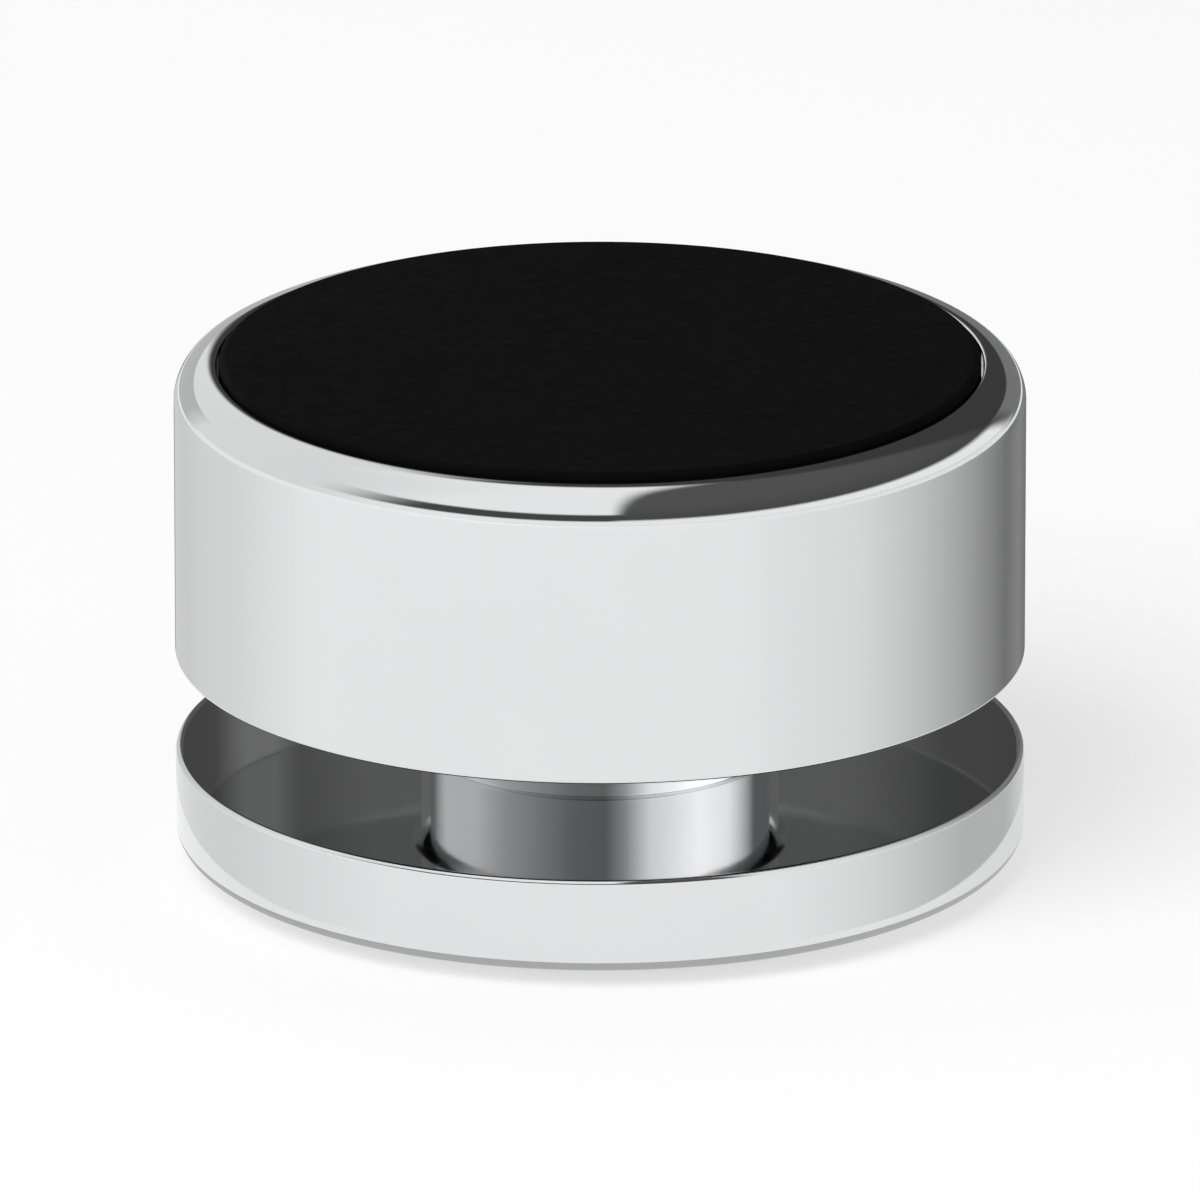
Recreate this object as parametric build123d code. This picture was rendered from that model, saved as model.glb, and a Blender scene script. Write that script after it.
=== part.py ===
# Portable laptop stand: one height-adjustable foot, built standing on its rubber foot pad.
# Millimetres, +Z up, origin at the centre of the ground contact.
# The cap is turned on a coarse right-hand screw, so a positive turn about +Z raises it.
from build123d import *
import math
import os

os.makedirs("parts", exist_ok=True)

# Outer shape, read from the photograph
foot_diameter = 34.0
cap_height = 12.0
cap_top_round = 1.5
base_thickness = 4.0
base_bottom_bevel = 0.7
open_gap = 4.0
column_diameter = 13.6
edge_bevel = 0.2

# Pads and the adhesive films under them
top_rim_width = 1.8
top_pad_proud = 0.3
top_pad_bevel = 0.3
foot_rim_width = 2.5
foot_pad_proud = 0.6
foot_pad_bevel = 0.35
pad_thickness = 1.55
film_thickness = 0.15
film_inset = 0.5
pad_side_clearance = 0.1

# Screw pair, coarse shallow trapezoidal form
thread_pitch = 2.0
thread_major = 8.0
thread_engaged_depth = 0.65
thread_tip_clearance = 0.15
thread_flank_angle = 15.0
thread_flank_clearance = 0.12
thread_embed = 0.2
thread_lead_in = 1.5
thread_bar_overrun = 2.0

# Travel of the cap from the pose in the photograph
closed_clearance = 0.1
raised_clearance = 0.1
raised_travel = 0.9

# Sleeve on the base disc and the brass nut inside it
sleeve_wall = 0.8
sleeve_root_bevel = 0.3
sleeve_entry_chamfer = 0.3
nut_shoulder_width = 0.5
nut_body_length = 3.1
nut_flange_rim = 0.65
nut_flange_thickness = 0.8
nut_fit_clearance = 0.03
nut_entry_overrun = 0.1

# Inside of the cap
bore_clearance = 0.3
bore_entry_chamfer = 0.4
ceiling_clearance = 0.4
web_thickness = 1.0
groove_offset = 1.6
groove_width = 1.5
groove_depth = 1.15

# Friction ring
ring_height = 1.3
ring_slide_clearance = 0.03
ring_groove_clearance = 0.04

# Lift stud
head_across_flats = 13.0
head_thickness = 1.0
head_side_clearance = 0.1
head_corner_chamfer = 0.2
shank_extra = 0.1
shank_clearance = 0.05
stud_end_chamfer = 0.5
stud_hole_depth = 5.0

# Stop washer and stop screw
washer_side_clearance = 0.3
washer_hole_clearance = 0.15
washer_thickness = 0.8
washer_edge_bevel = 0.15
screw_diameter = 3.0
screw_length = 4.4
screw_head_diameter = 5.6
screw_head_height = 1.2
screw_head_bevel = 0.3
screw_hole_clearance = 0.05
screw_recess_across_flats = 2.0
screw_recess_depth = 0.8

# Heights that follow from the sizes above
foot_radius = foot_diameter / 2
base_bottom_z = foot_pad_proud
base_top_z = base_bottom_z + base_thickness
foot_seat_z = pad_thickness + film_thickness
cap_bottom_z = base_top_z + open_gap
cap_top_z = cap_bottom_z + cap_height
top_pad_top_z = cap_top_z + top_pad_proud
top_pad_bottom_z = top_pad_top_z - pad_thickness
top_seat_z = top_pad_bottom_z - film_thickness
head_seat_z = top_seat_z - head_thickness
bore_ceiling_z = head_seat_z - web_thickness
closed_travel = open_gap - closed_clearance
sleeve_top_z = bore_ceiling_z - ceiling_clearance - closed_travel
nut_bottom_z = sleeve_top_z - nut_flange_thickness - nut_body_length
stud_end_z = nut_bottom_z - raised_travel - raised_clearance
groove_bottom_z = cap_bottom_z + groove_offset
washer_bottom_z = stud_end_z - washer_thickness
thread_start_z = stud_end_z - thread_lead_in
thread_turns = math.ceil((bore_ceiling_z - thread_start_z) / thread_pitch)

# Diameters that follow from the sizes above
top_pad_diameter = foot_diameter - 2 * top_rim_width
foot_pad_diameter = foot_diameter - 2 * foot_rim_width
top_seat_diameter = top_pad_diameter + 2 * pad_side_clearance
foot_seat_diameter = foot_pad_diameter + 2 * pad_side_clearance
bore_radius = column_diameter / 2 + bore_clearance
groove_radius = bore_radius + groove_depth
sleeve_bore = column_diameter - 2 * sleeve_wall
nut_body_diameter = sleeve_bore - 2 * nut_shoulder_width
nut_flange_diameter = column_diameter - 2 * nut_flange_rim
stud_crest_radius = thread_major / 2
stud_root_radius = stud_crest_radius - thread_engaged_depth - thread_tip_clearance
nut_crest_radius = stud_crest_radius - thread_engaged_depth
nut_root_radius = stud_crest_radius + thread_tip_clearance
pitch_line_radius = stud_crest_radius - thread_engaged_depth / 2
shank_diameter = thread_major + shank_extra


def disc(diameter, bottom, top):
    """A plain round solid between two heights."""
    return Pos(0, 0, bottom) * Cylinder(diameter / 2, top - bottom, align=(Align.CENTER, Align.CENTER, Align.MIN))


def hexagon(across_flats, bottom, top):
    """A hexagonal solid between two heights."""
    outline = RegularPolygon(across_flats / 2, 6, major_radius=False)
    return extrude(Pos(0, 0, bottom) * outline, top - bottom)


def edges_at(solid, radius, height):
    """The circular edges of one radius at one height."""
    found = []
    for edge in solid.edges().filter_by(GeomType.CIRCLE):
        if abs(edge.radius - radius) < 0.001 and abs(edge.arc_center.Z - height) < 0.001:
            found.append(edge)
    return found


def half_width(radius, clearance):
    """Half the axial width of the thread ridge at a radius, thinned or widened by a clearance."""
    slope = math.tan(math.radians(thread_flank_angle))
    return thread_pitch / 4 - (radius - pitch_line_radius) * slope + clearance


def threaded_bar(core_radius, crest_radius, clearance):
    """A long round bar with a right-hand helical ridge from the shared thread start."""
    inner_radius = core_radius - thread_embed
    path = Helix(pitch=thread_pitch, height=thread_pitch * thread_turns, radius=inner_radius)
    inner_half = half_width(inner_radius, clearance)
    crest_half = half_width(crest_radius, clearance)
    outline = Polyline(
        (inner_radius, 0, -inner_half),
        (inner_radius, 0, inner_half),
        (crest_radius, 0, crest_half),
        (crest_radius, 0, -crest_half),
        close=True,
    )
    section = make_face(outline.edges()).face()
    ridge = Pos(0, 0, thread_start_z) * Solid.sweep(section, path.edge(), is_frenet=True)
    bottom = thread_start_z - thread_bar_overrun
    top = thread_start_z + thread_pitch * thread_turns + thread_bar_overrun
    return disc(2 * core_radius, bottom, top) + ridge


def base_disc():
    """Weighted disc with the hollow sleeve standing on it, turned in one piece."""
    body = disc(foot_diameter, base_bottom_z, base_top_z)
    body += disc(column_diameter, base_bottom_z, sleeve_top_z)
    body = chamfer(edges_at(body, column_diameter / 2, base_top_z), sleeve_root_bevel)
    body = chamfer(edges_at(body, foot_radius, base_top_z), edge_bevel)
    body = chamfer(edges_at(body, foot_radius, base_bottom_z), base_bottom_bevel)
    body = chamfer(edges_at(body, column_diameter / 2, sleeve_top_z), sleeve_entry_chamfer)
    body -= disc(foot_seat_diameter, base_bottom_z, foot_seat_z)
    body -= disc(sleeve_bore, foot_seat_z, nut_bottom_z)
    nut_hole = nut_body_diameter + 2 * nut_fit_clearance
    flange_hole = nut_flange_diameter + 2 * nut_fit_clearance
    body -= disc(nut_hole, nut_bottom_z, sleeve_top_z)
    body -= disc(flange_hole, sleeve_top_z - nut_flange_thickness, sleeve_top_z)
    return body


def thread_nut():
    """Flanged brass nut pressed in the top of the sleeve."""
    body = disc(nut_body_diameter, nut_bottom_z, sleeve_top_z)
    body += disc(nut_flange_diameter, sleeve_top_z - nut_flange_thickness, sleeve_top_z)
    body -= threaded_bar(nut_crest_radius, nut_root_radius, thread_flank_clearance / 2)
    entry_radius = nut_root_radius + nut_entry_overrun
    entry = Pos(0, 0, sleeve_top_z) * Cone(nut_crest_radius, entry_radius, entry_radius - nut_crest_radius,
                                           align=(Align.CENTER, Align.CENTER, Align.MAX))
    return body - entry


def cap():
    """Round cap that turns, with the pad seat on top and the sleeve bore below."""
    body = disc(foot_diameter, cap_bottom_z, cap_top_z)
    body = fillet(edges_at(body, foot_radius, cap_top_z), cap_top_round)
    body = chamfer(edges_at(body, foot_radius, cap_bottom_z), edge_bevel)
    body -= disc(top_seat_diameter, top_seat_z, cap_top_z)
    body -= disc(2 * bore_radius, cap_bottom_z, bore_ceiling_z)
    body = chamfer(edges_at(body, bore_radius, cap_bottom_z), bore_entry_chamfer)
    body -= disc(2 * groove_radius, groove_bottom_z, groove_bottom_z + groove_width)
    body -= disc(shank_diameter + 2 * shank_clearance, bore_ceiling_z, head_seat_z)
    body -= hexagon(head_across_flats + 2 * head_side_clearance, head_seat_z, top_seat_z)
    return body


def lift_stud():
    """Hex-headed screw that hangs from the cap's web and runs in the nut."""
    blank = disc(2 * stud_crest_radius + thread_bar_overrun, stud_end_z, bore_ceiling_z)
    blank_edge = edges_at(blank, stud_crest_radius + thread_bar_overrun / 2, stud_end_z)
    blank = chamfer(blank_edge, stud_end_chamfer + thread_bar_overrun / 2)
    body = threaded_bar(stud_root_radius, stud_crest_radius, -thread_flank_clearance / 2) & blank
    body += disc(shank_diameter, bore_ceiling_z, head_seat_z)
    head = hexagon(head_across_flats, head_seat_z, top_seat_z)
    body += chamfer(head.edges().filter_by(Axis.Z), head_corner_chamfer)
    body -= disc(screw_diameter + 2 * screw_hole_clearance, stud_end_z, stud_end_z + stud_hole_depth)
    return body


def friction_ring():
    """Square-section rubber ring in the cap's bore groove, rubbing on the sleeve."""
    inner_radius = column_diameter / 2 + ring_slide_clearance
    outer_radius = groove_radius - ring_groove_clearance
    bottom = groove_bottom_z + (groove_width - ring_height) / 2
    body = disc(2 * outer_radius, bottom, bottom + ring_height)
    return body - disc(2 * inner_radius, bottom, bottom + ring_height)


def stop_washer():
    """Washer that meets the sleeve's shoulder when the cap is fully raised."""
    washer_diameter = sleeve_bore - 2 * washer_side_clearance
    washer_hole = screw_diameter + 2 * washer_hole_clearance
    body = disc(washer_diameter, washer_bottom_z, stud_end_z)
    body = chamfer(edges_at(body, washer_diameter / 2, washer_bottom_z), washer_edge_bevel)
    return body - disc(washer_hole, washer_bottom_z, stud_end_z)


def stop_screw():
    """Small cap screw that holds the stop washer on the end of the stud."""
    head_bottom_z = washer_bottom_z - screw_head_height
    body = disc(screw_head_diameter, head_bottom_z, washer_bottom_z)
    body = chamfer(edges_at(body, screw_head_diameter / 2, head_bottom_z), screw_head_bevel)
    body += disc(screw_diameter, washer_bottom_z, washer_bottom_z + screw_length)
    body -= hexagon(screw_recess_across_flats, head_bottom_z, head_bottom_z + screw_recess_depth)
    return body


def top_pad():
    """Soft silicone disc that carries the laptop."""
    body = disc(top_pad_diameter, top_pad_bottom_z, top_pad_top_z)
    return chamfer(edges_at(body, top_pad_diameter / 2, top_pad_top_z), top_pad_bevel)


def foot_pad():
    """Rubber disc that grips the desk."""
    body = disc(foot_pad_diameter, 0, pad_thickness)
    return chamfer(edges_at(body, foot_pad_diameter / 2, 0), foot_pad_bevel)


def film(pad_diameter, bottom):
    """Thin adhesive film under a pad."""
    return disc(pad_diameter - 2 * film_inset, bottom, bottom + film_thickness)


sub_parts = {
    "base_disc": base_disc(),
    "thread_nut": thread_nut(),
    "foot_pad": foot_pad(),
    "foot_pad_film": film(foot_pad_diameter, pad_thickness),
    "friction_ring": friction_ring(),
    "cap": cap(),
    "lift_stud": lift_stud(),
    "stop_washer": stop_washer(),
    "stop_screw": stop_screw(),
    "top_pad": top_pad(),
    "top_pad_film": film(top_pad_diameter, top_seat_z),
}

for name, solid in sub_parts.items():
    export_step(solid, "parts/" + name + ".step")
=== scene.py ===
"""Looks of one height-adjustable laptop foot: polished chrome, matte black pads, soft studio."""
import math

import bmesh
import bpy
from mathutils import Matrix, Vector

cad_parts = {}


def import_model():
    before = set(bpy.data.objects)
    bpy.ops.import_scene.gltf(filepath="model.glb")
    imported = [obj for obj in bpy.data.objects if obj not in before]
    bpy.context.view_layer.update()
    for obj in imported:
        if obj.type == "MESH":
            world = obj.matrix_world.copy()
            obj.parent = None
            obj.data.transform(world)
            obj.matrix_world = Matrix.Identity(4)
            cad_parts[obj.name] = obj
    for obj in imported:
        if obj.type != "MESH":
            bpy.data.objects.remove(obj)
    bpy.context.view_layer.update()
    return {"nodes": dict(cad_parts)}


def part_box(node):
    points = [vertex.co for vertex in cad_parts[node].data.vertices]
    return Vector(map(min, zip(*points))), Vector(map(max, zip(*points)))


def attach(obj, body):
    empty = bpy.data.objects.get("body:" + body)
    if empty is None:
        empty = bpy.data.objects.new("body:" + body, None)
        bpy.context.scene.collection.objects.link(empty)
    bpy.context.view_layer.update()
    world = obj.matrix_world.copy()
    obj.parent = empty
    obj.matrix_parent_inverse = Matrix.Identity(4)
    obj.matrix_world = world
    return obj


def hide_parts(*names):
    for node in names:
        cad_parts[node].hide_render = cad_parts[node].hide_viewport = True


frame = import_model()
nodes = frame["nodes"]

MM = 0.001


def bottom_of(node):
    """Lowest height of a CAD node in millimetres."""
    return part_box(node)[0].z / MM


def top_of(node):
    """Greatest height of a CAD node in millimetres."""
    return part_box(node)[1].z / MM


def radius_of(node):
    """Radius of a round CAD node in millimetres."""
    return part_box(node)[1].x / MM


# Sizes that the frame gives, in millimetres
FOOT_R = radius_of("cap")
CAP_BOTTOM = bottom_of("cap")
CAP_TOP = top_of("cap")
BASE_BOTTOM = bottom_of("base_disc")
SLEEVE_TOP = top_of("base_disc")
TOP_SEAT_Z = bottom_of("top_pad_film")
FOOT_SEAT_Z = top_of("foot_pad_film")
NUT_BOTTOM = bottom_of("thread_nut")

# Sizes of the rigid pieces that the frame's boxes don't show, in millimetres
BASE_THICKNESS = 4.0
CAP_ROUND = 1.5
EDGE_ROUND = 0.2
SEAT_EDGE_ROUND = 0.08
BASE_BOTTOM_ROUND = 0.9
SLEEVE_R = 6.8
SLEEVE_WALL = 0.8
SLEEVE_ROOT = 0.3
SLEEVE_CHAMFER = 0.3
NUT_FIT = 0.03
NUT_BODY_R = 5.5
NUT_FLANGE_THICKNESS = 0.8
PAD_CLEARANCE = 0.1
BORE_R = 7.1
BORE_CHAMFER = 0.4
GROOVE_FIT = 0.04
GROOVE_END_FIT = 0.1
HEAD_THICKNESS = 1.0
WEB_THICKNESS = 1.0
WEB_HOLE_R = 4.1
POCKET_FLAT = 6.6
TOP_PAD_ROUND = 0.3
FOOT_PAD_ROUND = 0.35
TREAD_RINGS = 6
TREAD_PITCH = 2.1
TREAD_WIDTH = 0.6
TREAD_DEPTH = 0.25

BASE_TOP = BASE_BOTTOM + BASE_THICKNESS
HEAD_SEAT_Z = TOP_SEAT_Z - HEAD_THICKNESS
BORE_CEILING = HEAD_SEAT_Z - WEB_THICKNESS

# Fineness of the meshes: steps round the axis and round each edge, rings of the top pad's face as shares
# of its radius, lengths in millimetres, and angles
SEGMENTS = 384
CAP_ROUND_STEPS = 28
BASE_ROUND_STEPS = 18
EDGE_STEPS = 8
ROOT_STEPS = 6
SEAT_EDGE_STEPS = 3
PAD_FACE_RINGS = (0.9, 0.7, 0.4, 0.15, 0)
LONG_RUN = 0.7
SUPPORT = 0.02
SAME_POINT = 0.00001
NO_LENGTH = 0.000001
SHARP_ANGLE = math.radians(32)
SIXTH_TURN = math.pi / 3


# Mesh making
def arc(centre_r, centre_z, radius, start, end, steps):
    """Profile points round an arc, angles in degrees from +r towards +z."""
    points = []
    for i in range(steps + 1):
        a = math.radians(start + (end - start) * i / steps)
        points.append((centre_r + radius * math.cos(a), centre_z + radius * math.sin(a)))
    return points


def supported(profile, flats):
    """The profile with points added close to the ends of each long run, so that flats shade flat."""
    points = []
    new_flats = {}
    for i, (r, z) in enumerate(profile):
        j = (i + 1) % len(profile)
        if i in flats:
            new_flats[len(points)] = flats[i]
        points.append((r, z))
        across = profile[j][0] - r
        up = profile[j][1] - z
        run = math.hypot(across, up)
        if run > LONG_RUN and i not in flats and j not in flats:
            for share in (SUPPORT / run, 1 - SUPPORT / run):
                points.append((r + across * share, z + up * share))
    return points, new_flats


def lathe(name, profile, flats=None):
    """Revolve (radius, height) points about the axis; the points in flats follow a hexagon."""
    profile, flats = supported(profile, flats or {})
    made = bmesh.new()
    rings = []
    for s in range(SEGMENTS):
        angle = 2 * math.pi * s / SEGMENTS
        ring = []
        for i, (r, z) in enumerate(profile):
            if i in flats:
                r = flats[i] / math.cos(angle % SIXTH_TURN - SIXTH_TURN / 2)
            ring.append(made.verts.new((r * MM * math.cos(angle), r * MM * math.sin(angle), z * MM)))
        rings.append(ring)
    count = len(profile)
    for s in range(SEGMENTS):
        here = rings[s]
        there = rings[(s + 1) % SEGMENTS]
        for i in range(count):
            j = (i + 1) % count
            made.faces.new((here[i], there[i], there[j], here[j]))
    bmesh.ops.remove_doubles(made, verts=made.verts, dist=SAME_POINT * MM)
    bmesh.ops.dissolve_degenerate(made, edges=made.edges, dist=NO_LENGTH * MM)
    bmesh.ops.recalc_face_normals(made, faces=made.faces)
    mesh = bpy.data.meshes.new(name)
    made.to_mesh(mesh)
    made.free()
    mesh.shade_smooth()
    mesh.set_sharp_from_angle(angle=SHARP_ANGLE)
    obj = bpy.data.objects.new(name, mesh)
    bpy.context.scene.collection.objects.link(obj)
    return obj


# Materials
NOISE_LOW = 0.3
NOISE_HIGH = 0.7


class Finish:
    """One material's node tree, with short calls for what the finishes share; depths are in metres."""

    def __init__(self, name):
        self.material = bpy.data.materials.new(name)
        self.material.use_nodes = True
        self.tree = self.material.node_tree
        self.bsdf = self.tree.nodes["Principled BSDF"]
        self.coords = self.add("ShaderNodeTexCoord").outputs["Object"]

    def add(self, kind, **values):
        """Node with its plain settings."""
        node = self.tree.nodes.new(kind)
        for key, value in values.items():
            setattr(node, key, value)
        return node

    def noise(self, scale, detail=3.0, roughness=0.5, stretch=(1, 1, 1)):
        """Noise in object space; scale is per metre."""
        mapping = self.add("ShaderNodeMapping")
        mapping.inputs["Scale"].default_value = stretch
        self.tree.links.new(self.coords, mapping.inputs["Vector"])
        node = self.add("ShaderNodeTexNoise")
        node.inputs["Scale"].default_value = scale
        node.inputs["Detail"].default_value = detail
        node.inputs["Roughness"].default_value = roughness
        self.tree.links.new(mapping.outputs["Vector"], node.inputs["Vector"])
        return node.outputs["Fac"]

    def rough(self, value, low, high):
        """Roughness that wanders between two values with the noise."""
        node = self.add("ShaderNodeMapRange")
        node.inputs["From Min"].default_value = NOISE_LOW
        node.inputs["From Max"].default_value = NOISE_HIGH
        node.inputs["To Min"].default_value = low
        node.inputs["To Max"].default_value = high
        self.tree.links.new(value, node.inputs["Value"])
        self.tree.links.new(node.outputs["Result"], self.bsdf.inputs["Roughness"])

    def colour(self, value, first, second):
        """Base colour that wanders between two colours with the noise."""
        node = self.add("ShaderNodeMix", data_type="RGBA")
        node.inputs["A"].default_value = (*first, 1)
        node.inputs["B"].default_value = (*second, 1)
        self.tree.links.new(value, node.inputs["Factor"])
        self.tree.links.new(node.outputs["Result"], self.bsdf.inputs["Base Color"])

    def bump(self, height, distance, strength, under=None):
        """Bump with its depth in metres, laid over another bump if given."""
        node = self.add("ShaderNodeBump")
        node.inputs["Strength"].default_value = strength
        node.inputs["Distance"].default_value = distance
        self.tree.links.new(height, node.inputs["Height"])
        if under:
            self.tree.links.new(under, node.inputs["Normal"])
        self.tree.links.new(node.outputs["Normal"], self.bsdf.inputs["Normal"])
        return node.outputs["Normal"]


def chrome():
    """Mirror chrome plate: faint polishing waves, uneven gloss, hairlines."""
    f = Finish("chrome_plate_polished")
    f.bsdf.inputs["Metallic"].default_value = 1.0
    f.colour(f.noise(scale=90, detail=2), (0.745, 0.75, 0.757), (0.785, 0.788, 0.793))
    f.rough(f.noise(scale=420, detail=5, roughness=0.6), low=0.03, high=0.075)
    wave_height = f.noise(scale=170, detail=1.5, roughness=0.4, stretch=(1, 1, 0.45))
    waves = f.bump(wave_height, distance=0.00001, strength=0.55)
    hairlines = f.noise(scale=5200, detail=3, roughness=0.6, stretch=(1, 1, 6))
    f.bump(hairlines, distance=0.0000006, strength=0.5, under=waves)
    return f.material


def fine_turned():
    """Column: plated like the rest, with a softer gloss and turning lines round it."""
    f = Finish("column_fine_turned")
    f.bsdf.inputs["Metallic"].default_value = 1.0
    f.colour(f.noise(scale=200, detail=2), (0.64, 0.65, 0.66), (0.72, 0.73, 0.74))
    f.rough(f.noise(scale=900, stretch=(1, 1, 9)), low=0.13, high=0.22)
    turning_lines = f.noise(scale=700, detail=4, roughness=0.6, stretch=(0.02, 0.02, 9))
    f.bump(turning_lines, distance=0.000002, strength=0.35)
    return f.material


def soft_black(name, tone, roughness, grain):
    """Matte moulded silicone or rubber with a fine grain."""
    f = Finish(name)
    f.bsdf.inputs["Specular IOR Level"].default_value = 0.03
    darker = [0.7 * c for c in tone]
    lighter = [1.4 * c for c in tone]
    f.colour(f.noise(scale=260, detail=4, roughness=0.6), darker, lighter)
    f.rough(f.noise(scale=1500, detail=4), low=roughness - 0.07, high=roughness + 0.07)
    fine = f.bump(f.noise(scale=grain, detail=5, roughness=0.65), distance=0.00003, strength=0.5)
    f.bump(f.noise(scale=300, detail=2), distance=0.00003, strength=0.25, under=fine)
    return f.material


def machined(name, low, high, roughness, lines=1200):
    """Plain turned metal for the hidden screw pieces."""
    f = Finish(name)
    f.bsdf.inputs["Metallic"].default_value = 1.0
    f.colour(f.noise(scale=500, detail=4), low, high)
    f.rough(f.noise(scale=1200, detail=4), low=roughness - 0.06, high=roughness + 0.08)
    turning_lines = f.noise(scale=lines, detail=4, roughness=0.6, stretch=(0.1, 0.1, 4))
    f.bump(turning_lines, distance=0.000004, strength=0.4)
    return f.material


def oxide_black():
    """Blackened steel of the small stop screw."""
    f = Finish("stop_screw_black_oxide")
    f.bsdf.inputs["Metallic"].default_value = 0.55
    f.colour(f.noise(scale=800, detail=4), (0.025, 0.025, 0.028), (0.07, 0.07, 0.075))
    f.rough(f.noise(scale=2000), low=0.34, high=0.5)
    f.bump(f.noise(scale=4000, detail=4), distance=0.000005, strength=0.4)
    return f.material


def adhesive():
    """Milky adhesive film under the pads."""
    f = Finish("adhesive_film_milky")
    f.bsdf.inputs["Specular IOR Level"].default_value = 0.35
    f.colour(f.noise(scale=700, detail=4), (0.66, 0.65, 0.6), (0.82, 0.81, 0.77))
    f.rough(f.noise(scale=1800), low=0.5, high=0.7)
    f.bump(f.noise(scale=2500, detail=4), distance=0.00001, strength=0.4)
    return f.material


CHROME = chrome()
COLUMN = fine_turned()
# Painted shade in part: the top pad is black silicone given a tone darker still, so that its top looks
# shaded.
PAD = soft_black("top_pad_silicone", (0.0022, 0.0022, 0.0023), roughness=0.72, grain=5200)
FOOT_RUBBER = soft_black("foot_pad_rubber", (0.012, 0.012, 0.012), roughness=0.85, grain=3800)
RING_RUBBER = soft_black("friction_ring_rubber", (0.02, 0.02, 0.02), roughness=0.5, grain=4200)
NUT_BRASS = machined("nut_brass_turned", (0.62, 0.45, 0.2), (0.82, 0.64, 0.34), 0.3)
STUD_ZINC = machined("stud_zinc_plated", (0.55, 0.57, 0.6), (0.72, 0.73, 0.72), 0.3, lines=2600)
WASHER_ZINC = machined("washer_zinc_plated", (0.52, 0.54, 0.57), (0.7, 0.7, 0.68), 0.36)
SCREW_BLACK = oxide_black()
FILM = adhesive()


def dress(node, material):
    """Give a CAD node that stays in view its own material."""
    mesh = nodes[node].data
    mesh.materials.clear()
    mesh.materials.append(material)


dress("thread_nut", NUT_BRASS)
dress("lift_stud", STUD_ZINC)
dress("stop_washer", WASHER_ZINC)
dress("stop_screw", SCREW_BLACK)
dress("friction_ring", RING_RUBBER)
dress("foot_pad_film", FILM)
dress("top_pad_film", FILM)


# Pieces that replace the outer CAD nodes
def cap_shell():
    """The turning cap: outer wall, pad seat, sleeve bore, ring groove and hex pocket."""
    seat_r = radius_of("top_pad") + PAD_CLEARANCE
    seat_edge_r = seat_r + SEAT_EDGE_ROUND
    seat_edge_z = CAP_TOP - SEAT_EDGE_ROUND
    seat_rim = arc(seat_edge_r, seat_edge_z, SEAT_EDGE_ROUND, 180, 90, SEAT_EDGE_STEPS)
    top = arc(FOOT_R - CAP_ROUND, CAP_TOP - CAP_ROUND, CAP_ROUND, 90, 0, CAP_ROUND_STEPS)
    bottom = arc(FOOT_R - EDGE_ROUND, CAP_BOTTOM + EDGE_ROUND, EDGE_ROUND, 0, -90, EDGE_STEPS)
    mouth = [(BORE_R + BORE_CHAMFER, CAP_BOTTOM), (BORE_R, CAP_BOTTOM + BORE_CHAMFER)]
    groove_r = radius_of("friction_ring") + GROOVE_FIT
    groove_low = bottom_of("friction_ring") - GROOVE_END_FIT
    groove_high = top_of("friction_ring") + GROOVE_END_FIT
    groove = [(BORE_R, groove_low), (groove_r, groove_low)]
    groove += [(groove_r, groove_high), (BORE_R, groove_high)]
    web = [(BORE_R, BORE_CEILING), (WEB_HOLE_R, BORE_CEILING), (WEB_HOLE_R, HEAD_SEAT_Z)]
    pocket = [(POCKET_FLAT, HEAD_SEAT_Z), (POCKET_FLAT, TOP_SEAT_Z)]
    profile = [(seat_r, TOP_SEAT_Z)] + seat_rim + top + bottom + mouth + groove + web + pocket
    last = len(profile) - 1
    return lathe("cap_shell", profile, {last - 1: POCKET_FLAT, last: POCKET_FLAT})


def base_shell():
    """The base disc with its column and bores."""
    inset = FOOT_R - BASE_BOTTOM_ROUND
    bottom = arc(inset, BASE_BOTTOM + BASE_BOTTOM_ROUND, BASE_BOTTOM_ROUND, -90, 0, BASE_ROUND_STEPS)
    top = arc(FOOT_R - EDGE_ROUND, BASE_TOP - EDGE_ROUND, EDGE_ROUND, 0, 90, EDGE_STEPS)
    root = arc(SLEEVE_R + SLEEVE_ROOT, BASE_TOP + SLEEVE_ROOT, SLEEVE_ROOT, -90, -180, ROOT_STEPS)
    column = [(SLEEVE_R, SLEEVE_TOP - SLEEVE_CHAMFER), (SLEEVE_R - SLEEVE_CHAMFER, SLEEVE_TOP)]
    flange_r = radius_of("thread_nut") + NUT_FIT
    flange_z = SLEEVE_TOP - NUT_FLANGE_THICKNESS
    nut_r = NUT_BODY_R + NUT_FIT
    sleeve_bore_r = SLEEVE_R - SLEEVE_WALL
    nut_seat = [(flange_r, SLEEVE_TOP), (flange_r, flange_z), (nut_r, flange_z), (nut_r, NUT_BOTTOM)]
    pad_r = radius_of("foot_pad") + PAD_CLEARANCE
    bore = [(sleeve_bore_r, NUT_BOTTOM), (sleeve_bore_r, FOOT_SEAT_Z)]
    pad_seat = [(pad_r, FOOT_SEAT_Z), (pad_r, BASE_BOTTOM)]
    obj = lathe("base_shell", bottom + top + root + column + nut_seat + bore + pad_seat)
    obj.data.materials.append(CHROME)
    obj.data.materials.append(COLUMN)
    for face in obj.data.polygons:
        radius = math.hypot(face.center.x, face.center.y) / MM
        if radius < SLEEVE_R + SLEEVE_ROOT and face.center.z / MM > BASE_TOP:
            face.material_index = 1
    return obj


def top_pad():
    """Silicone disc with a softly rounded edge."""
    radius = radius_of("top_pad")
    low = bottom_of("top_pad")
    high = top_of("top_pad")
    edge = arc(radius - TOP_PAD_ROUND, high - TOP_PAD_ROUND, TOP_PAD_ROUND, 0, 90, EDGE_STEPS)
    face = [(radius * share, high) for share in PAD_FACE_RINGS]
    return lathe("top_pad_disc", [(0, low), (radius, low)] + edge + face)


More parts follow.
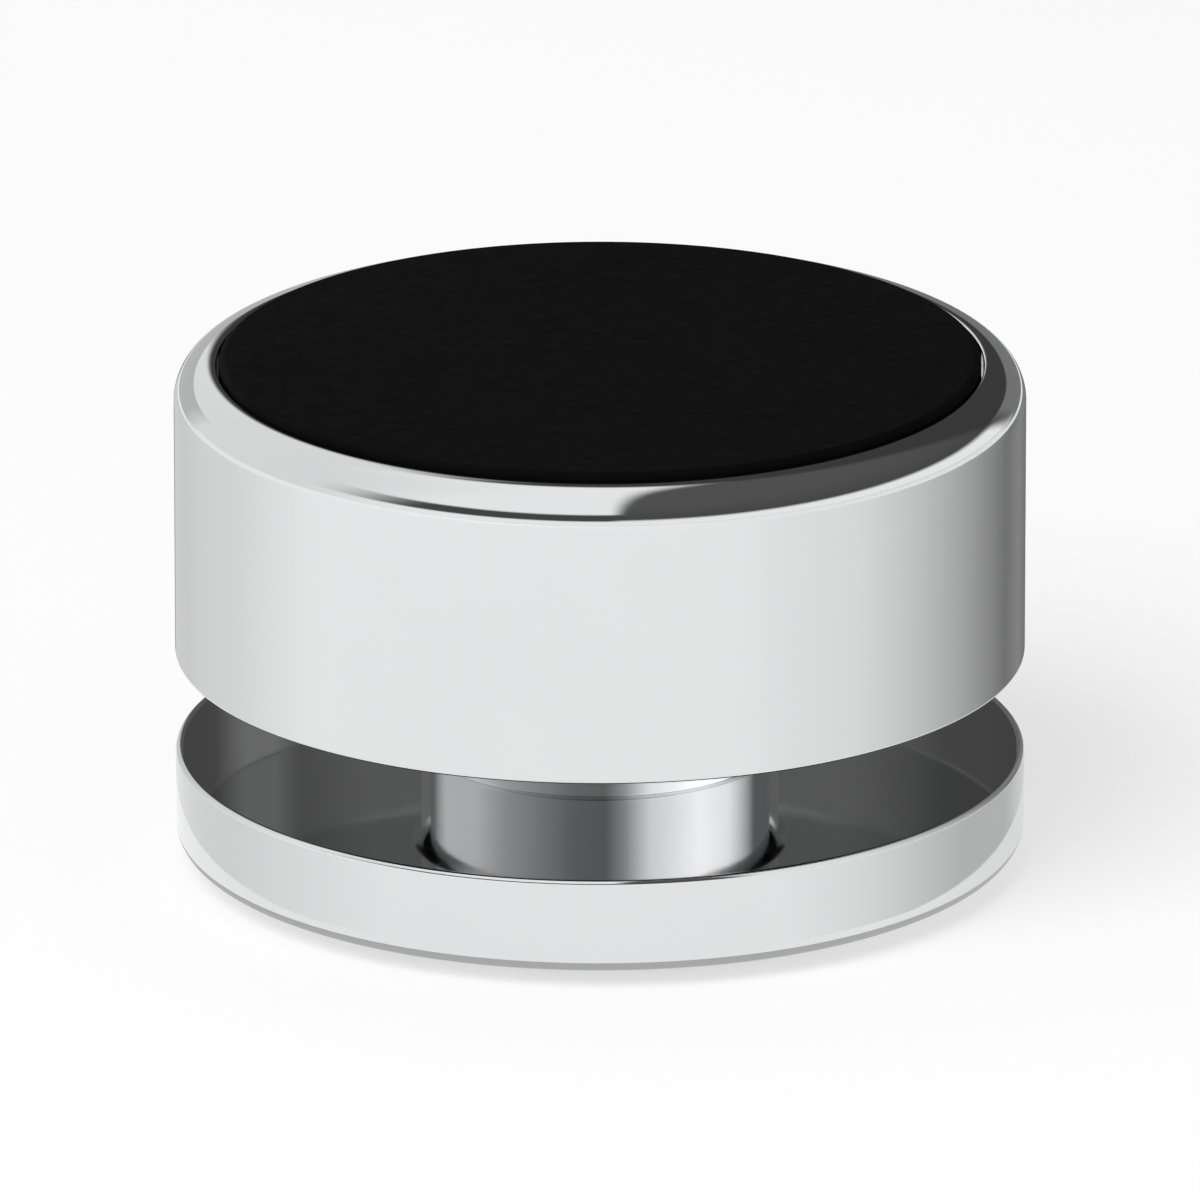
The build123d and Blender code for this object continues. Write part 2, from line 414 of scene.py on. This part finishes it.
def foot_pad():
    """Rubber disc on the ground with a rounded lower edge and shallow tread rings."""
    radius = radius_of("foot_pad")
    high = top_of("foot_pad")
    face = [(0, 0)]
    for i in range(1, TREAD_RINGS + 1):
        inner = TREAD_PITCH * i - TREAD_WIDTH / 2
        outer = inner + TREAD_WIDTH
        slope = TREAD_DEPTH / 2
        face += [(inner, 0), (inner + slope, TREAD_DEPTH), (outer - slope, TREAD_DEPTH), (outer, 0)]
    edge = arc(radius - FOOT_PAD_ROUND, FOOT_PAD_ROUND, FOOT_PAD_ROUND, -90, 0, EDGE_STEPS)
    return lathe("foot_pad_disc", face + edge + [(radius, high), (0, high)])


def place(obj, body, node, material=None):
    """Put a piece on its body in place of a CAD node."""
    if material:
        obj.data.materials.append(material)
    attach(obj, body)
    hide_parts(node)


place(cap_shell(), "turning_cap", "cap", CHROME)
place(base_shell(), "base", "base_disc")
place(top_pad(), "turning_cap", "top_pad", PAD)
place(foot_pad(), "base", "foot_pad", FOOT_RUBBER)


# Camera: angles in degrees, distances in metres, film in millimetres
VIEW_AZIMUTH = -36.0
VIEW_ELEVATION = 18.5
VIEW_DISTANCE = 0.9
FRAME_WIDTH = 0.048
FILM_WIDTH = 36
NEAR_LIMIT = 0.01
FAR_LIMIT = 20
TARGET = Vector((0, 0, 0.0106))


def towards(azimuth, elevation):
    """Unit vector away from the foot; azimuth is counted from the camera's, to its right."""
    a = math.radians(VIEW_AZIMUTH + azimuth)
    e = math.radians(elevation)
    return Vector((math.sin(a) * math.cos(e), -math.cos(a) * math.cos(e), math.sin(e)))


def photo_camera():
    """The photograph's view: a long lens that frames the foot."""
    data = bpy.data.cameras.new("photo_camera")
    data.sensor_width = FILM_WIDTH
    data.lens = FILM_WIDTH * VIEW_DISTANCE / FRAME_WIDTH
    data.clip_start = NEAR_LIMIT
    data.clip_end = FAR_LIMIT
    obj = bpy.data.objects.new("photo_camera", data)
    bpy.context.scene.collection.objects.link(obj)
    look = towards(0, VIEW_ELEVATION)
    obj.location = TARGET + look * VIEW_DISTANCE
    obj.rotation_euler = look.to_track_quat("Z", "Y").to_euler()
    return obj


bpy.context.scene.camera = photo_camera()


# Studio: the floor's half width in metres, the rest as shares of white
FLOOR_HALF = 4.0
FLOOR_GREY = 0.9
FLOOR_GLOW = 0.6
ROOM_LIGHT = 0.5

# Painted reflection: greys that only the chrome's reflections see in the room, as (sine of elevation,
# grey) stops
FRONT_STOPS = [(0.19, 1), (0.25, 0.07), (0.5, 0.07), (0.57, 1)]
LEFT_STOPS = [(0, 0.85)]
RIGHT_STOPS = [(0.2, 1), (0.3, 0.075), (0.8, 0.1)]
BACK_STOPS = [(0, 0.05)]

# Round patches over the front one: azimuth and elevation of the middle, and the angles from it at which
# the patch starts to show and at which only it shows, in degrees
PATCHES = [
    (LEFT_STOPS, -115, 20, 62, 25),
    (RIGHT_STOPS, 90, 0, 88, 83.5),
    (BACK_STOPS, 165, 18, 36, 26),
    (LEFT_STOPS, -145, 22, 32, 27),
]

# Sizes of the glowing rings round the foot that paint reflections into the chrome, in millimetres
CARD_STEPS = 180
FAR_CARD_R = FOOT_R + 5
RING_CARD_R = FOOT_R + 3
GAP_CARD_R = FOOT_R - 0.3
FOOT_CARD_R = FOOT_R - 1
COLUMN_CARD_R = SLEEVE_R + 0.35
WALL_CARD_TOP = CAP_TOP - 2.6
RIM_CARD_BOTTOM = CAP_TOP - 2.0
RIM_CARD_TOP = CAP_TOP + 2.4
GAP_CARD_TOP = CAP_BOTTOM - 0.05
COLUMN_CARD_TOP = CAP_BOTTOM - 0.1
GAP_CARD_BOTTOM = BASE_TOP + 0.05
RING_CARD_TOP = BASE_TOP - 1.4
RING_CARD_BOTTOM = 0.1
FOOT_CARD_TOP = 0.06
FOOT_CARD_BOTTOM = 0.03
FOOT_CARD_FLARE = 1.5


class Shader:
    """A node tree for a stage material or the world."""

    def __init__(self, owner):
        owner.use_nodes = True
        self.nodes = owner.node_tree.nodes
        self.links = owner.node_tree.links
        self.nodes.clear()

    def add(self, kind, **inputs):
        """Node with its plain inputs set."""
        node = self.nodes.new(kind)
        for key, value in inputs.items():
            node.inputs[key].default_value = value
        return node

    def feed(self, value, socket):
        """Set a socket to a plain number, or link it to another socket."""
        if isinstance(value, (int, float)):
            socket.default_value = value
        else:
            self.links.new(value, socket)

    def mix(self, factor, first, second):
        """Shader between two others."""
        node = self.nodes.new("ShaderNodeMixShader")
        self.feed(factor, node.inputs["Fac"])
        self.links.new(first, node.inputs[1])
        self.links.new(second, node.inputs[2])
        return node.outputs[0]

    def calc(self, operation, *values):
        """Math node on sockets or plain numbers."""
        node = self.nodes.new("ShaderNodeMath")
        node.operation = operation
        for socket, value in zip(node.inputs, values):
            self.feed(value, socket)
        return node.outputs[0]

    def axes(self, vector):
        """A vector's three parts, as sockets named X, Y and Z."""
        node = self.add("ShaderNodeSeparateXYZ")
        self.links.new(vector, node.inputs[0])
        return node.outputs

    def ramp(self, value, stops):
        """Colour ramp of greys, as (place, grey, opacity) stops."""
        node = self.nodes.new("ShaderNodeValToRGB")
        places = node.color_ramp.elements
        while len(places) < len(stops):
            places.new(0.5)
        while len(places) > len(stops):
            places.remove(places[-1])
        for element, (place_along, grey, opacity) in zip(places, stops):
            element.position = place_along
            element.color = (grey, grey, grey, opacity)
        self.links.new(value, node.inputs["Fac"])
        return node

    def backdrop(self, height, stops):
        """World greys by height, for the painted reflections."""
        ramp = self.ramp(height, [(place_up, grey, 1) for place_up, grey in stops])
        node = self.nodes.new("ShaderNodeBackground")
        self.links.new(ramp.outputs["Color"], node.inputs["Color"])
        return node.outputs[0]

    def facing(self, direction, towards_vector, start, end):
        """0 to 1 as a direction comes from start to end degrees of a fixed vector."""
        dot = self.nodes.new("ShaderNodeVectorMath")
        dot.operation = "DOT_PRODUCT"
        dot.inputs[1].default_value = towards_vector
        self.links.new(direction, dot.inputs[0])
        span = self.add("ShaderNodeMapRange")
        span.interpolation_type = "SMOOTHSTEP"
        span.inputs["From Min"].default_value = math.cos(math.radians(start))
        span.inputs["From Max"].default_value = math.cos(math.radians(end))
        self.links.new(dot.outputs["Value"], span.inputs["Value"])
        return span.outputs["Result"]

    def surface(self, shader, kind="ShaderNodeOutputMaterial"):
        """Make a shader the tree's result."""
        out = self.nodes.new(kind)
        self.links.new(shader, out.inputs["Surface"])


def floor():
    """Pale floor: lit and faintly glowing, so that it is white and keeps the shadow."""
    corners = [(x * FLOOR_HALF, y * FLOOR_HALF, 0) for x, y in ((-1, -1), (1, -1), (1, 1), (-1, 1))]
    mesh = bpy.data.meshes.new("floor")
    mesh.from_pydata(corners, [], [(0, 1, 2, 3)])
    obj = bpy.data.objects.new("floor", mesh)
    bpy.context.scene.collection.objects.link(obj)
    material = bpy.data.materials.new("floor_white")
    s = Shader(material)
    lit = s.add("ShaderNodeBsdfDiffuse", Color=(FLOOR_GREY, FLOOR_GREY, FLOOR_GREY, 1)).outputs[0]
    glow = s.add("ShaderNodeEmission", Strength=1.0).outputs[0]
    clear = s.add("ShaderNodeBsdfTransparent").outputs[0]
    below = s.add("ShaderNodeNewGeometry").outputs["Backfacing"]
    s.surface(s.mix(below, s.mix(FLOOR_GLOW, lit, glow), clear))
    mesh.materials.append(material)


def world():
    """White room with even light; only reflections see the painted greys in it, darkest on the right and
    behind.
    """
    sky = bpy.data.worlds.new("studio")
    s = Shader(sky)
    direction = s.add("ShaderNodeTexCoord").outputs["Generated"]
    height = s.axes(direction)["Z"]
    # Painted reflection: these greys reach the chrome through glossy rays only, and they light nothing.
    painted_reflection = s.backdrop(height, FRONT_STOPS)
    for stops, azimuth, elevation, start, end in PATCHES:
        patch = s.facing(direction, towards(azimuth, elevation), start, end)
        painted_reflection = s.mix(patch, painted_reflection, s.backdrop(height, stops))
    light = s.add("ShaderNodeBackground", Color=(1, 1, 1, 1), Strength=ROOM_LIGHT).outputs[0]
    seen = s.add("ShaderNodeBackground", Color=(1, 1, 1, 1)).outputs[0]
    rays = s.add("ShaderNodeLightPath").outputs
    unseen = s.mix(rays["Is Glossy Ray"], light, painted_reflection)
    s.surface(s.mix(rays["Is Camera Ray"], unseen, seen), "ShaderNodeOutputWorld")
    bpy.context.scene.world = sky


def band(name, radius, low, high, flare):
    """Mesh of a ring round the axis, wider at the top by its flare."""
    points = []
    for i in range(CARD_STEPS):
        a = 2 * math.pi * i / CARD_STEPS
        for r, z in ((radius, low), (radius + flare, high)):
            points.append((r * MM * math.cos(a), r * MM * math.sin(a), z * MM))
    faces = []
    for i in range(CARD_STEPS):
        here = 2 * i
        there = 2 * ((i + 1) % CARD_STEPS)
        faces.append((here, there, there + 1, here + 1))
    mesh = bpy.data.meshes.new(name)
    mesh.from_pydata(points, [], faces)
    return mesh


def painted_reflection_glow(name, stops):
    """Glow on the inner side of a ring, clear elsewhere, by its stops; a painted reflection for the
    chrome.
    """
    material = bpy.data.materials.new(name)
    s = Shader(material)
    axes = s.axes(s.add("ShaderNodeTexCoord").outputs["Object"])
    angle = s.calc("ARCTAN2", axes["X"], s.calc("MULTIPLY", axes["Y"], -1))
    turn = s.calc("ADD", s.calc("DIVIDE", angle, 2 * math.pi), 0.5)
    ramp = s.ramp(turn, [((azimuth + 180) / 360, grey, opacity) for azimuth, grey, opacity in stops])
    glow = s.add("ShaderNodeEmission")
    s.links.new(ramp.outputs["Color"], glow.inputs["Color"])
    clear = s.add("ShaderNodeBsdfTransparent").outputs[0]
    inner = s.add("ShaderNodeNewGeometry").outputs["Backfacing"]
    s.surface(s.mix(s.calc("MULTIPLY", ramp.outputs["Alpha"], inner), clear, glow.outputs[0]))
    return material


def painted_reflection_card(name, radius, low, high, stops, flare=0.0):
    """Painted reflection: a curved glowing ring round the foot that only reflections show, as (azimuth,
    grey, opacity) stops.
    """
    mesh = band(name, radius, low, high, flare)
    mesh.materials.append(painted_reflection_glow(name, stops))
    obj = bpy.data.objects.new(name, mesh)
    bpy.context.scene.collection.objects.link(obj)
    obj.rotation_euler.z = math.radians(VIEW_AZIMUTH)
    obj.visible_camera = False
    obj.visible_diffuse = False
    obj.visible_shadow = False
    obj.visible_transmission = False


def softbox(name, azimuth, elevation, distance, size, power):
    """Square area lamp aimed at the foot, left out of reflections; distance and size are in metres."""
    data = bpy.data.lights.new(name, "AREA")
    data.size = size
    data.energy = power
    obj = bpy.data.objects.new(name, data)
    bpy.context.scene.collection.objects.link(obj)
    out = towards(azimuth, elevation)
    obj.location = TARGET + out * distance
    obj.rotation_euler = out.to_track_quat("Z", "Y").to_euler()
    obj.visible_glossy = False


floor()
world()
softbox("key", azimuth=-35, elevation=48, distance=1.0, size=0.7, power=9)

# Each ring paints reflection or shade on one part of the foot. Azimuths are in degrees from the
# camera's, to its right.
# Painted reflection on the cap's wall: darker greys towards its right side and near its left edge.
painted_reflection_card("painted_wall_reflection", FAR_CARD_R, RING_CARD_TOP, WALL_CARD_TOP, [
    (-178, 1, 0), (-174, 0.97, 1), (-150, 0.12, 1), (-126, 0.1, 1), (-120, 0.66, 1), (-103, 0.7, 1),
    (-91, 0.78, 1), (-75, 0.84, 1), (-57, 0.97, 1), (-50, 1, 0),
    (22, 1, 0), (28, 0.96, 1), (46, 0.87, 1), (56, 0.73, 1), (65, 0.6, 1), (75, 0.46, 1), (85, 0.32, 1),
    (96, 0.2, 1), (108, 0.26, 1), (128, 0.14, 1), (150, 0.13, 1), (174, 0.97, 1), (178, 1, 0),
])
# Painted highlights on the column: bright streaks, some brighter than white, between dark painted greys.
painted_reflection_card("painted_column_streaks", COLUMN_CARD_R, GAP_CARD_BOTTOM, COLUMN_CARD_TOP, [
    (-180, 0.1, 1), (-171, 0.12, 1), (-162, 0.7, 1), (-150, 0.7, 1), (-140, 0.12, 1), (-86, 0.15, 1),
    (-70, 0.72, 1), (-50, 0.7, 1), (-36, 0.44, 1), (-10, 0.18, 1), (2, 0.15, 1), (9, 0.38, 1),
    (18, 1.05, 1), (38, 1.55, 1), (52, 1.3, 1), (70, 0.15, 1), (138, 0.1, 1), (148, 0.9, 1),
    (160, 0.9, 1), (170, 0.12, 1), (180, 0.1, 1),
])
# Painted shade: a dark grey sheet round the gap between cap and base, so the gap's mirrored faces show
# dark.
painted_reflection_card("painted_gap_shade", GAP_CARD_R, GAP_CARD_BOTTOM, GAP_CARD_TOP, [
    (-180, 0.14, 1), (-146, 0.14, 1), (-133, 0.1, 1), (-128, 0.17, 1), (-121, 0.17, 1), (-112, 0.07, 1),
    (-80, 0.06, 1), (-50, 0.14, 1), (-10, 0.11, 1), (60, 0.13, 1), (92, 0.06, 1), (124, 0.07, 1),
    (143, 0.14, 1), (180, 0.14, 1),
])
# Painted reflection on the base ring: darker greys towards its ends, most on the right.
painted_reflection_card("painted_ring_reflection", RING_CARD_R, RING_CARD_BOTTOM, RING_CARD_TOP, [
    (-172, 1, 0), (-165, 0.97, 1), (-110, 0.84, 1), (-84, 0.78, 1), (-70, 0.8, 1), (-40, 0.95, 1),
    (-30, 1, 0), (25, 1, 0), (33, 0.95, 1), (43, 0.87, 1), (52, 0.76, 1), (61, 0.64, 1), (70, 0.55, 1),
    (90, 0.53, 1), (101, 0.64, 1), (135, 0.7, 1), (165, 0.97, 1), (172, 1, 0),
])
# Painted shade: a grey band on the floor round the base, mirrored as a grey line along its lower edge.
painted_reflection_card("painted_foot_shade", FOOT_CARD_R, FOOT_CARD_BOTTOM, FOOT_CARD_TOP, [
    (-180, 0.5, 1), (180, 0.5, 1),
], FOOT_CARD_FLARE)
# Painted reflection in the cap's top rounding: dark greys from behind, darkest on the right, lighter
# back left.
painted_reflection_card("painted_rim_reflection", FAR_CARD_R, RIM_CARD_BOTTOM, RIM_CARD_TOP, [
    (-180, 0.22, 1), (-172, 0.3, 1), (-155, 0.5, 1), (-100, 0.55, 1), (-90, 0.55, 0), (90, 0.2, 0),
    (100, 0.2, 1), (180, 0.2, 1),
])

bpy.context.scene.view_settings.view_transform = "Standard"
